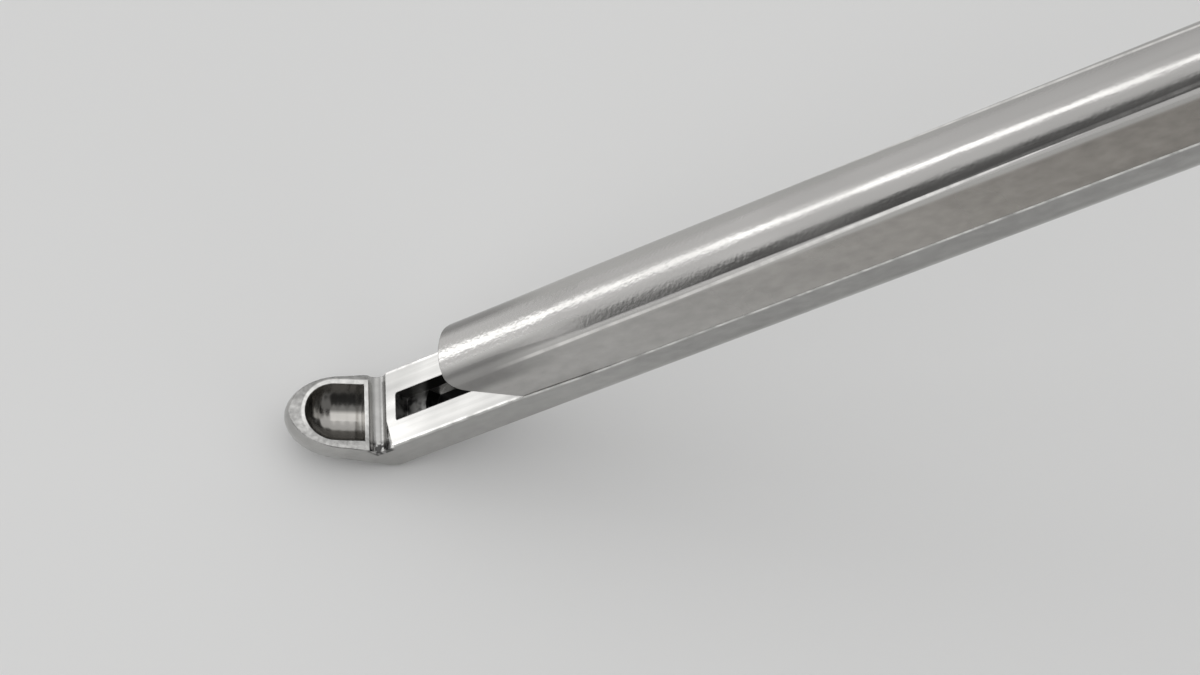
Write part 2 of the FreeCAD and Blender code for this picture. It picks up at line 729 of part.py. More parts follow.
def make_leaf(seat, meeting, has_eye):
    """Leaf spring: flat foot on its seat, one bow across the gap and a rolled end."""
    middle, up, out = seat
    start = middle - up * (leaf_foot / 2)
    bend = middle + up * (leaf_foot / 2)
    chord = meeting - bend
    swing = atan2(chord.dot(out), chord.dot(up))
    radius = chord.Length / (2 * sin(swing))
    centre = bend + out * radius

    def on_arc(angle, r):
        return centre - out * r * cos(angle) + up * r * sin(angle)

    inner, outer, total = radius - leaf_thickness, radius, 2 * swing
    edges = lines([on_arc(0, inner), start + out * leaf_thickness, start, bend])
    edges.append(arc(bend, on_arc(total / 2, outer), on_arc(total, outer)))
    edges += lines([on_arc(total, outer), on_arc(total, inner)])
    edges.append(arc(on_arc(total, inner), on_arc(total / 2, inner), on_arc(0, inner)))
    leaf = plate(edges, leaf_width)
    end = on_arc(total, (inner + outer) / 2)
    tongue = leaf_width / 6
    near_end = leaf_eye_radius + 1.0
    if has_eye:
        leaf = leaf.cut([cross_pin(end, near_end, tongue, leaf_width), cross_pin(end, near_end, -leaf_width, -tongue)])
        leaf = leaf.fuse(cross_pin(end, leaf_eye_radius, -tongue, tongue)).removeSplitter()
    else:
        leaf = leaf.cut(cross_pin(end, near_end, -tongue - fork_play, tongue + fork_play))
    screw, dowel = fastening_points(seat)
    for point, diameter in ((screw, spring_screw_diameter), (dowel, dowel_diameter)):
        hole = Part.makeCylinder(diameter / 2 + seat_gap, leaf_width, point - out, out)
        leaf = leaf.cut(hole)
    return leaf


def leaf_meeting():
    """Where the two leaves meet between the handles."""
    return at(pivot.x - 13.5, pivot.z - 34)


def make_spring_screw(seat):
    """Slotted screw through a leaf's foot into the handle."""
    _, _, out = seat
    point, _ = fastening_points(seat)
    under_head = point + out * leaf_thickness
    head = Part.makeCylinder(spring_head_diameter / 2, spring_head_height, under_head, out)
    shank = Part.makeCylinder(spring_screw_diameter / 2, spring_screw_length + leaf_thickness,
                              under_head, out * -1)
    slot = Part.makeBox(screw_slot_width, spring_head_diameter * 2, screw_slot_depth * 2)
    slot.translate(Vector(-screw_slot_width / 2, -spring_head_diameter, -screw_slot_depth))
    slot.Placement = FreeCAD.Placement(
        under_head + out * spring_head_height,
        FreeCAD.Rotation(Vector(0, 0, 1), out)).multiply(slot.Placement)
    return head.cut(slot).fuse(shank).removeSplitter()


def make_spring_dowel(seat):
    """Dowel that keeps a leaf's foot from turning."""
    _, _, out = seat
    _, point = fastening_points(seat)
    return Part.makeCylinder(dowel_diameter / 2, dowel_length + leaf_thickness, point + out * leaf_thickness,
                             out * -1)


def stance():
    """Turn about Y that sets the footplate's heel and the front handle's end on one floor."""
    heel = at(footplate_profile()[1].x, heel_radius - lower_height)
    foot = at(pivot.x + hook_reach, pivot.z - hook_drop)
    run = heel - foot
    tilt = atan2(run.z, run.x)
    return degrees(tilt + asin((hook_radius - heel_radius) / hypot(run.x, run.z)))


def make_pieces():
    """Every piece under its name, in the shaft's frame."""
    keels = keel_places()
    return {
        "lower_shaft": make_lower_shaft(),
        "upper_shaft": make_upper_shaft(),
        "front_keel": make_keel(keels["front_keel"]),
        "rear_keel": make_keel(keels["rear_keel"]),
        "rear_handle": make_rear_handle(),
        "front_handle": make_front_handle(),
        "shaft_pins": make_shaft_pins(),
        "pivot_screw": make_pivot_screw(),
        "pivot_nut": make_pivot_nut(),
        "link_screw": make_link_screw(),
        "guide_screw": make_guide_screw(),
        "rear_leaf_spring": make_leaf(rear_seat(), leaf_meeting(), False),
        "front_leaf_spring": make_leaf(front_seat(), leaf_meeting(), True),
        "rear_spring_screw": make_spring_screw(rear_seat()),
        "front_spring_screw": make_spring_screw(front_seat()),
        "rear_spring_dowel": make_spring_dowel(rear_seat()),
        "front_spring_dowel": make_spring_dowel(front_seat()),
    }


def main():
    """Make the pieces, set them in the stance and write one file for each."""
    os.makedirs("parts", exist_ok=True)
    turn = FreeCAD.Rotation(Vector(0, 1, 0), stance())
    palm = from_pivot([palm_place])[0]
    placing = FreeCAD.Placement(turn.multVec(palm) * -1, turn)
    for name, piece in make_pieces().items():
        placed = piece.copy()
        placed.Placement = placing.multiply(placed.Placement)
        print(f"{name}: valid {placed.isValid()}, {len(placed.Solids)} solid, {placed.Volume:.1f} mm3")
        placed.exportStep(f"parts/{name}.step")
    print(f"stance {stance():.2f} degrees, nose at {nose_x:.2f}, link at {link.x:.2f}")


main()
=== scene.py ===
"""Kerrison rongeur, jaw open: steel finishes, leaf springs, stage, room and camera.

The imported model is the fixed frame. The instrument's own directions are worked out from the
slider's joint: along the shaft towards the tip, across it, and up to the slider's crown.
"""
from __future__ import annotations

import json
import logging
import math
from dataclasses import dataclass, field
from enum import Enum

import bpy
from mathutils import Matrix, Vector

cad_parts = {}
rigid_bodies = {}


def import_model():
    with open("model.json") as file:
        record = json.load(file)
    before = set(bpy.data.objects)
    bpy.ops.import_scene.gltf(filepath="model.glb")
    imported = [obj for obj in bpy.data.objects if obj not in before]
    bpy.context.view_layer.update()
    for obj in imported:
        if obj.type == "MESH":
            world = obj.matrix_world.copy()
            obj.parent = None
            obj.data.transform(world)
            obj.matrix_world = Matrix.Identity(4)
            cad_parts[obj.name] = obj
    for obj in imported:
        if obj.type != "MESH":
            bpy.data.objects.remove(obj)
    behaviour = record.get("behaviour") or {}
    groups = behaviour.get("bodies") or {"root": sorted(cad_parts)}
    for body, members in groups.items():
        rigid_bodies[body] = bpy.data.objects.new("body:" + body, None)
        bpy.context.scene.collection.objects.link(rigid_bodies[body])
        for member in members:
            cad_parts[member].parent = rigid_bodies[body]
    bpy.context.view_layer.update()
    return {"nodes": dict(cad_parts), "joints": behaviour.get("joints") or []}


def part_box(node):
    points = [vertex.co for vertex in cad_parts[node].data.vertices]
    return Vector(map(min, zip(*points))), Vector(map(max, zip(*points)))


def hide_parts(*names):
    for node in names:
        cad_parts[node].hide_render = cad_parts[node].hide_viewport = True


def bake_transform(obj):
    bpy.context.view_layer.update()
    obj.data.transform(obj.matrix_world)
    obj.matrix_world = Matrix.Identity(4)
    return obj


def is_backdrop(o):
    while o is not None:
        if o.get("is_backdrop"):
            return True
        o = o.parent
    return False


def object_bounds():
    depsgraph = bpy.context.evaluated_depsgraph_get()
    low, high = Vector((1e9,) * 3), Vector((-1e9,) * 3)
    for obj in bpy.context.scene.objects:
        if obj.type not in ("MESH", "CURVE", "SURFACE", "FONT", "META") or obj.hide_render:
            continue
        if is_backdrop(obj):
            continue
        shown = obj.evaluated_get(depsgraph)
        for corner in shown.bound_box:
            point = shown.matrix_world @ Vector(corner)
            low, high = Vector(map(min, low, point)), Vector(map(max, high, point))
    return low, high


LOG = logging.getLogger("rongeur")
MILLIMETRES = 1000.0
NOISE_MIDDLE = 0.5
Triple = tuple[float, float, float]
Pair = tuple[float, float]
Socket = bpy.types.NodeSocket


class Finish(Enum):
    """The steel finishes on the instrument."""

    CROWN = "crown_polish"
    GROUND = "ground_flat"
    GRIP = "grip_satin"
    SPRING = "spring_polish"
    TURNED = "turned_screw"


@dataclass(frozen=True)
class Steel:
    """Colour and surface of one steel finish.

    Pitches, lengths, spacings and the edge's radius are in millimetres. Heights, nicks and
    waves are in steps of the bump.
    """

    color: Triple
    roughness: float
    grain_pitch: float = 0.12
    grain_length: float = 6.0
    grain_height: float = 0.25
    grain_shade: float = 0.06
    haze: float = 0.10
    nicks: float = 0.3
    nick_spacing: float = 2.2
    edge: float = 0.05
    wave: float = 0.0
    wave_size: float = 12.0


STEELS: dict[Finish, Steel] = {
    Finish.CROWN: Steel((0.59, 0.58, 0.565), 0.115, grain_pitch=0.22, grain_length=1.6,
                        grain_height=1.0, grain_shade=0.12, haze=0.08, nicks=1.2,
                        nick_spacing=2.6, wave=3.0),
    Finish.GROUND: Steel((0.60, 0.595, 0.58), 0.17, grain_height=0.45, grain_shade=0.12),
    Finish.GRIP: Steel((0.50, 0.50, 0.49), 0.24, grain_pitch=0.2, grain_length=9.0,
                       grain_height=0.9, grain_shade=0.16, haze=0.12, nicks=0.8,
                       nick_spacing=5.0, edge=0.5, wave=50.0),
    Finish.SPRING: Steel((0.60, 0.60, 0.60), 0.16, grain_height=0.5, edge=0.12),
    Finish.TURNED: Steel((0.66, 0.66, 0.65), 0.17, grain_pitch=0.1, grain_length=60.0,
                         grain_height=1.2, edge=0.12),
}


@dataclass(frozen=True)
class Lay:
    """How a steel's pattern lies on a piece.

    It is turned about X, Y and Z, in radians, and counted from a spot. A ringed pattern runs
    in rings round its own Z axis.
    """

    turn: Triple
    spot: Vector
    ringed: bool = False


@dataclass
class ShaftFrame:
    """The shaft's own axes in the model: X to the tip, Y across, Z to the crown.

    Its origin is the distal end of the flat top, at mid width on the sliding plane.
    """

    reach: float = 0.1726
    pivot_drop: float = 0.0228
    along: Vector = field(default_factory=Vector)
    up: Vector = field(default_factory=Vector)
    origin: Vector = field(default_factory=Vector)

    @classmethod
    def from_joints(cls, joints: list[dict]) -> "ShaftFrame":
        """Work the axes out from the slide's direction and the place of the handle's pivot.

        Args:
            joints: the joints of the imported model.

        Returns:
            The shaft's frame.
        """
        found = cls()
        slide = next(j for j in joints if j["type"] == "slide")
        hinge = next(j for j in joints if j["type"] == "hinge")
        found.along = Vector(slide["axis"]).normalized()
        found.up = found.along.cross(Vector((0, 1, 0))).normalized()
        pivot = Vector(hinge["pos_m"])
        found.origin = pivot + found.along * found.reach + found.up * found.pivot_drop
        return found

    def point(self, x: float, y: float, z: float) -> Vector:
        """Place in the model of a point of the shaft's frame, in metres."""
        return self.origin + self.along * x + Vector((0, y, 0)) + self.up * z

    def beside_pivot(self, forward: float, up: float) -> Vector:
        """Place in the model of a point given from the handle's pivot, in metres."""
        return self.point(forward - self.reach, 0, up - self.pivot_drop)

    def lean(self) -> float:
        """Turn about Y from the model's axes to the shaft's, in radians."""
        return math.atan2(-self.along.z, self.along.x)

    def lay(self) -> Lay:
        """A pattern that runs along the shaft."""
        return Lay((0, self.lean(), 0), self.origin)


class Nodes:
    """Short calls for building one node tree."""

    def __init__(self, tree: bpy.types.NodeTree) -> None:
        """Keep the tree that the calls add to."""
        self.tree = tree

    def add(self, kind: str, **settings: object) -> bpy.types.Node:
        """Add a node and set its properties.

        Args:
            kind: the node's type, without the ShaderNode prefix.
            settings: properties of the node by name.

        Returns:
            The new node.
        """
        node = self.tree.nodes.new("ShaderNode" + kind)
        for name, value in settings.items():
            setattr(node, name, value)
        return node

    def join(self, source: Socket, target: Socket) -> None:
        """Link two sockets."""
        self.tree.links.new(source, target)

    def feed(self, node: bpy.types.Node, slot: int | str, value: Socket | float | None) -> None:
        """Give an input a socket or a number.

        Args:
            node: the node.
            slot: the input's place or name.
            value: a socket, a number, or nothing to leave the input alone.
        """
        if isinstance(value, bpy.types.NodeSocket):
            self.join(value, node.inputs[slot])
        elif value is not None:
            node.inputs[slot].default_value = value

    def math(self, operation: str, first: Socket | float, second: Socket | float | None = None,
             third: Socket | float | None = None) -> Socket:
        """Add a Math node fed by sockets or numbers.

        Args:
            operation: the Math node's operation.
            first: a socket or a number.
            second: a socket, a number or nothing.
            third: a socket, a number or nothing.

        Returns:
            The result socket.
        """
        node = self.add("Math", operation=operation)
        for slot, value in enumerate((first, second, third)):
            self.feed(node, slot, value)
        return node.outputs[0]

    def plus(self, first: Socket | float, second: Socket | float) -> Socket:
        """Add two numbers."""
        return self.math("ADD", first, second)

    def minus(self, first: Socket | float, second: Socket | float) -> Socket:
        """Take the second number from the first."""
        return self.math("SUBTRACT", first, second)

    def size(self, value: Socket) -> Socket:
        """A number without its sign."""
        return self.math("ABSOLUTE", value)

    def line(self, value: Socket, slope: float, start: Socket | float) -> Socket:
        """Start plus slope times the value."""
        return self.math("MULTIPLY_ADD", value, slope, start)

    def product(self, *factors: Socket | float) -> Socket:
        """Multiply all the factors.

        Args:
            factors: sockets and numbers, a socket among them.

        Returns:
            Their product.
        """
        result = factors[0]
        for factor in factors[1:]:
            result = self.math("MULTIPLY", result, factor)
        return result

    def distance(self, first: Socket, second: Socket) -> Socket:
        """Length of the diagonal of two numbers."""
        squares = self.plus(self.product(first, first), self.product(second, second))
        return self.math("SQRT", squares)

    def past(self, value: Socket, limit: float) -> Socket:
        """How far a value is past a limit, and 0 before it."""
        return self.math("MAXIMUM", self.minus(value, limit), 0.0)

    def fade(self, value: Socket, span: Pair) -> Socket:
        """Smooth step of a value.

        Args:
            value: the value.
            span: where the step is 0, and where it is 1.

        Returns:
            The step, from 0 to 1.
        """
        node = self.add("MapRange", interpolation_type="SMOOTHSTEP")
        self.join(value, node.inputs["Value"])
        node.inputs["From Min"].default_value, node.inputs["From Max"].default_value = span
        return node.outputs["Result"]

    def band(self, value: Socket, span: Pair, soft: float) -> Socket:
        """Mask of a value inside a span.

        Args:
            value: the value.
            span: the low and the high end of the span.
            soft: width of each edge of the mask.

        Returns:
            The mask, 1 inside the span.
        """
        low, high = span
        rise = self.fade(value, (low - soft / 2, low + soft / 2))
        fall = self.fade(value, (high + soft / 2, high - soft / 2))
        return self.product(rise, fall)

    def blend(self, factor: Socket, first: Socket | float, second: Socket | float) -> Socket:
        """Mix two numbers.

        Args:
            factor: 0 for the first number, 1 for the second.
            first: a socket or a number.
            second: a socket or a number.

        Returns:
            The mixed number.
        """
        node = self.add("Mix", data_type="FLOAT")
        self.join(factor, node.inputs["Factor"])
        self.feed(node, "A", first)
        self.feed(node, "B", second)
        return node.outputs["Result"]

    def noise(self, vector: Socket, scale: float, detail: float) -> Socket:
        """Add a noise.

        Args:
            vector: the vector that it is drawn on.
            scale: its scale.
            detail: how many finer layers it has.

        Returns:
            Its value, from 0 to 1.
        """
        node = self.add("TexNoise")
        node.inputs["Scale"].default_value = scale
        node.inputs["Detail"].default_value = detail
        self.join(vector, node.inputs["Vector"])
        return node.outputs["Fac"]

    def stretch(self, vector: Socket, factors: Triple) -> Socket:
        """Scale a vector by its axes.

        Args:
            vector: the vector.
            factors: factors on X, Y and Z.

        Returns:
            The scaled vector.
        """
        node = self.add("VectorMath", operation="MULTIPLY")
        self.join(vector, node.inputs[0])
        node.inputs[1].default_value = factors
        return node.outputs[0]

    def split(self, vector: Socket) -> tuple[Socket, Socket, Socket]:
        """Take a vector apart.

        Args:
            vector: the vector.

        Returns:
            Its X, Y and Z.
        """
        node = self.add("SeparateXYZ")
        self.join(vector, node.inputs[0])
        return node.outputs["X"], node.outputs["Y"], node.outputs["Z"]


class GroupKind(Enum):
    """The shader node groups that several materials share."""

    GRAIN = "brushed_grain"
    HAZE = "handling_haze"
    NICKS = "fine_nicks"
    ARRIS = "worn_arris_highlight"


class SharedGroup(Nodes):
    """One shader node group, with a Vector input and number sockets."""

    def __init__(self, kind: GroupKind, inputs: dict[str, float], outputs: list[str]) -> None:
        """Start the group.

        Args:
            kind: which group it is.
            inputs: number inputs with their defaults.
            outputs: number outputs.
        """
        super().__init__(bpy.data.node_groups.new(kind.value, "ShaderNodeTree"))
        sockets = self.tree.interface
        sockets.new_socket("Vector", in_out="INPUT", socket_type="NodeSocketVector")
        for name, value in inputs.items():
            socket = sockets.new_socket(name, in_out="INPUT", socket_type="NodeSocketFloat")
            socket.default_value = value
        for name in outputs:
            sockets.new_socket(name, in_out="OUTPUT", socket_type="NodeSocketFloat")
        self.source = self.tree.nodes.new("NodeGroupInput")
        self.target = self.tree.nodes.new("NodeGroupOutput")

    def given(self, name: str) -> Socket:
        """One of the group's inputs."""
        return self.source.outputs[name]

    def put_out(self, name: str, value: Socket) -> None:
        """Feed one of the group's outputs."""
        self.join(value, self.target.inputs[name])

    def scaled_by(self, name: str) -> Socket:
        """Divide the group's vector by one of its length inputs.

        Args:
            name: the input's name.

        Returns:
            The divided vector.
        """
        node = self.add("VectorMath", operation="SCALE")
        self.join(self.given("Vector"), node.inputs[0])
        self.join(self.math("DIVIDE", 1.0, self.given(name)), node.inputs["Scale"])
        return node.outputs[0]


@dataclass
class SharedEffects:
    """The effects that several steels share, each built once as a node group.

    A noise is given by its scale and its detail, a range by where its mask starts and ends.
    """

    fine_grain: Pair = (0.5, 2.0)
    coarse_grain: Pair = (0.13, 1.0)
    coarse_height: float = 0.8
    haze_noise: Pair = (0.6, 3.0)
    haze_range: Pair = (0.38, 0.66)
    nick_shape: Triple = (0.35, 1.6, 1.6)
    nick_range: Pair = (0.13, 0.05)
    pick_noise: Pair = (0.35, 0.0)
    pick_range: Pair = (0.56, 0.60)
    arris_range: Pair = (1.0, 0.35)
    wear_noise: Pair = (0.9, 3.0)
    wear_range: Pair = (0.30, 0.62)

    def build(self) -> None:
        """Build all the groups."""
        self.build_grain()
        self.build_haze()
        self.build_nicks()
        self.build_arris()

    def build_grain(self) -> None:
        """Brushed grain: fine lines along X of its vector, as a height and a shade."""
        group = SharedGroup(GroupKind.GRAIN, {"Pitch": 0.12, "Length": 6.0}, ["Height", "Shade"])
        across = group.math("DIVIDE", 1.0, group.given("Pitch"))
        along = group.math("DIVIDE", 1.0, group.given("Length"))
        scale = group.add("CombineXYZ")
        for slot, value in enumerate((along, across, across)):
            group.join(value, scale.inputs[slot])
        drawn_out = group.add("VectorMath", operation="MULTIPLY")
        group.join(group.given("Vector"), drawn_out.inputs[0])
        group.join(scale.outputs[0], drawn_out.inputs[1])
        fine = group.noise(drawn_out.outputs[0], *self.fine_grain)
        coarse = group.noise(drawn_out.outputs[0], *self.coarse_grain)
        group.put_out("Height", group.line(coarse, self.coarse_height, fine))
        group.put_out("Shade", coarse)

    def build_haze(self) -> None:
        """Uneven film left by handling and cleaning, from 0 to 1."""
        group = SharedGroup(GroupKind.HAZE, {"Size": 4.0}, ["Mask"])
        broad = group.noise(group.scaled_by("Size"), *self.haze_noise)
        group.put_out("Mask", group.fade(broad, self.haze_range))

    def build_nicks(self) -> None:
        """Sparse short scratches and nicks, 1 on a nick."""
        group = SharedGroup(GroupKind.NICKS, {"Spacing": 1.6}, ["Mask"])
        scaled = group.scaled_by("Spacing")
        cells = group.add("TexVoronoi", feature="F1")
        cells.inputs["Scale"].default_value = 1.0
        group.join(group.stretch(scaled, self.nick_shape), cells.inputs["Vector"])
        near = group.fade(cells.outputs["Distance"], self.nick_range)
        pick = group.fade(group.noise(scaled, *self.pick_noise), self.pick_range)
        group.put_out("Mask", group.product(near, pick))

    def build_arris(self) -> None:
        """Worn edge along X, at a side distance and a height, for a painted highlight: 1 on it,
        broken here and there.
        """
        inputs = {"Side": 1.8, "Level": 2.8, "Width": 0.06, "Wear": 0.5}
        group = SharedGroup(GroupKind.ARRIS, inputs, ["Mask"])
        vector = group.given("Vector")
        _, y, z = group.split(vector)
        away = group.distance(group.minus(group.size(y), group.given("Side")),
                              group.minus(z, group.given("Level")))
        line = group.fade(group.math("DIVIDE", away, group.given("Width")), self.arris_range)
        along = group.stretch(vector, (1.0, 0.0, 0.0))
        wear = group.fade(group.noise(along, *self.wear_noise), self.wear_range)
        kept = group.blend(group.given("Wear"), 1.0, wear)
        group.put_out("Mask", group.product(line, kept))


def add_group(nodes: Nodes, kind: GroupKind, vector: Socket,
              **values: Socket | float) -> bpy.types.Node:
    """Place one of the shared groups with its own values.

    Args:
        nodes: the tree that it goes in.
        kind: which group it is.
        vector: the vector that it works on, in millimetres.
        values: its number inputs by name.

    Returns:
        The group node.
    """
    node = nodes.add("Group", node_tree=bpy.data.node_groups[kind.value])
    nodes.join(vector, node.inputs["Vector"])
    for name, value in values.items():
        nodes.feed(node, name, value)
    return node


@dataclass
class Sheet:
    """One steel material while it is being built."""

    material: bpy.types.Material
    nodes: Nodes
    shader: bpy.types.Node
    steel: Steel
    vector: Socket
    grain: bpy.types.Node
    haze: bpy.types.Node
    nicks: bpy.types.Node
    mottle_shape: Triple = (0.6, 1.0, 1.0)
    mottle_scale: float = 1.8

    def mottle(self, detail: float) -> Socket:
        """Fine mottle of the steel, a little drawn out along X."""
        drawn_out = self.nodes.stretch(self.vector, self.mottle_shape)
        return self.nodes.noise(drawn_out, self.mottle_scale, detail)

    def arris(self, side: Socket | float, level: Socket | float, width: float,
              wear: float) -> Socket:
        """Mask of a worn edge, which the finishes paint bright as a highlight."""
        node = add_group(self.nodes, GroupKind.ARRIS, self.vector,
                         Side=side, Level=level, Width=width, Wear=wear)
        return node.outputs["Mask"]


@dataclass
class SteelMaker:
    """Makes the steel materials, each with its pattern laid on the piece."""

    shaft: ShaftFrame
    haze_size: float = 5.0
    grain_swing: float = 2.0
    haze_shade: float = 0.5
    film_green: float = 0.955
    film_blue: float = 0.90
    bevel_samples: int = 4
    bump_strength: float = 0.35
    bump_distance: float = 0.00002

    def start(self, name: str, finish: Finish, lay: Lay) -> Sheet:
        """Begin a steel material.

        Args:
            name: the material's name.
            finish: which finish it has.
            lay: how the pattern lies on the piece.

        Returns:
            The material's nodes, for colour and surface to be added.
        """
        steel = STEELS[finish]
        material = bpy.data.materials.new(name)
        material.use_nodes = True
        nodes = Nodes(material.node_tree)
        shader = material.node_tree.nodes["Principled BSDF"]
        shader.inputs["Metallic"].default_value = 1.0
        vector = self.local_vector(nodes, lay)
        grain = add_group(nodes, GroupKind.GRAIN, vector,
                          Pitch=steel.grain_pitch, Length=steel.grain_length)
        haze = add_group(nodes, GroupKind.HAZE, vector, Size=self.haze_size)
        nicks = add_group(nodes, GroupKind.NICKS, vector, Spacing=steel.nick_spacing)
        return Sheet(material, nodes, shader, steel, vector, grain, haze, nicks)

    def plain(self, name: str, finish: Finish, lay: Lay, tone: float = 1.0,
              rougher: float = 0.0) -> bpy.types.Material:
        """Make steel of one finish all over.

        Args:
            name: the material's name.
            finish: which finish it has.
            lay: how the pattern lies on the piece.
            tone: factor on the steel's colour.
            rougher: what is added to the roughness.

        Returns:
            The material.
        """
        sheet = self.start(name, finish, lay)
        self.color(sheet, tone)
        self.surface(sheet, rougher, 0.0)
        return sheet.material

    def local_vector(self, nodes: Nodes, lay: Lay) -> Socket:
        """Object coordinates in the pattern's axes, in millimetres, or as rings.

        Args:
            nodes: the material's tree.
            lay: how the pattern lies on the piece.

        Returns:
            The vector, whose Y is the distance from the Z axis where the pattern is ringed.
        """
        mapping = nodes.add("Mapping", vector_type="TEXTURE")
        mapping.inputs["Location"].default_value = lay.spot
        mapping.inputs["Rotation"].default_value = lay.turn
        nodes.join(nodes.add("TexCoord").outputs["Object"], mapping.inputs["Vector"])
        vector = nodes.stretch(mapping.outputs["Vector"], (MILLIMETRES, MILLIMETRES, MILLIMETRES))
        if not lay.ringed:
            return vector
        x, y, z = nodes.split(vector)
        ring = nodes.add("CombineXYZ")
        nodes.join(nodes.distance(x, y), ring.inputs["Y"])
        nodes.join(z, ring.inputs["Z"])
        return ring.outputs[0]

    def color(self, sheet: Sheet, tone: Socket | float, warmth: Socket | float = 0.0) -> None:
        """Steel colour with a little shade from the grain and the haze.

        Args:
            sheet: the material.
            tone: factor on the steel's colour.
            warmth: 0 for the steel's own colour, 1 for a brownish film.
        """
        nodes, steel = sheet.nodes, sheet.steel
        shade = nodes.minus(sheet.grain.outputs["Shade"], NOISE_MIDDLE)
        value = nodes.line(shade, steel.grain_shade * self.grain_swing, 1.0)
        value = nodes.line(sheet.haze.outputs["Mask"], -steel.haze * self.haze_shade, value)
        red, green, blue = steel.color
        tinted = nodes.add("Mix", data_type="RGBA")
        nodes.feed(tinted, "Factor", warmth)
        tinted.inputs["A"].default_value = (red, green, blue, 1)
        film = (red, green * self.film_green, blue * self.film_blue, 1)
        tinted.inputs["B"].default_value = film
        final = nodes.add("VectorMath", operation="SCALE")
        nodes.join(tinted.outputs["Result"], final.inputs[0])
        nodes.join(nodes.product(value, tone), final.inputs["Scale"])
        nodes.join(final.outputs[0], sheet.shader.inputs["Base Color"])

    def surface(self, sheet: Sheet, rougher: Socket | float, relief: Socket | float) -> None:
        """Roughness, softened edges and bump from the grain, the haze and the nicks.

        Args:
            sheet: the material.
            rougher: what is added to the roughness.
            relief: what is added to the height of the surface.
        """
        nodes, steel = sheet.nodes, sheet.steel
        rough = nodes.line(sheet.haze.outputs["Mask"], steel.haze, steel.roughness)
        nodes.join(nodes.plus(rough, rougher), sheet.shader.inputs["Roughness"])
        edge = nodes.add("Bevel", samples=self.bevel_samples)
        edge.inputs["Radius"].default_value = steel.edge / MILLIMETRES
        height = nodes.product(sheet.grain.outputs["Height"], steel.grain_height)
        height = nodes.line(sheet.nicks.outputs["Mask"], -steel.nicks, height)
        if steel.wave:
            uneven = nodes.noise(sheet.vector, 1.0 / steel.wave_size, 1.0)
            height = nodes.line(uneven, steel.wave, height)
        bump = nodes.add("Bump")
        bump.inputs["Strength"].default_value = self.bump_strength
        bump.inputs["Distance"].default_value = self.bump_distance
        nodes.join(nodes.plus(height, relief), bump.inputs["Height"])
        nodes.join(edge.outputs["Normal"], bump.inputs["Normal"])
        nodes.join(bump.outputs["Normal"], sheet.shader.inputs["Normal"])


def coat(piece: bpy.types.Object, material: bpy.types.Material) -> None:
    """Give a piece one material and report it.

    Args:
        piece: the piece.
        material: its material.
    """
    piece.data.materials.clear()
    piece.data.materials.append(material)
    LOG.info("%s is in %s", piece.name, material.name)


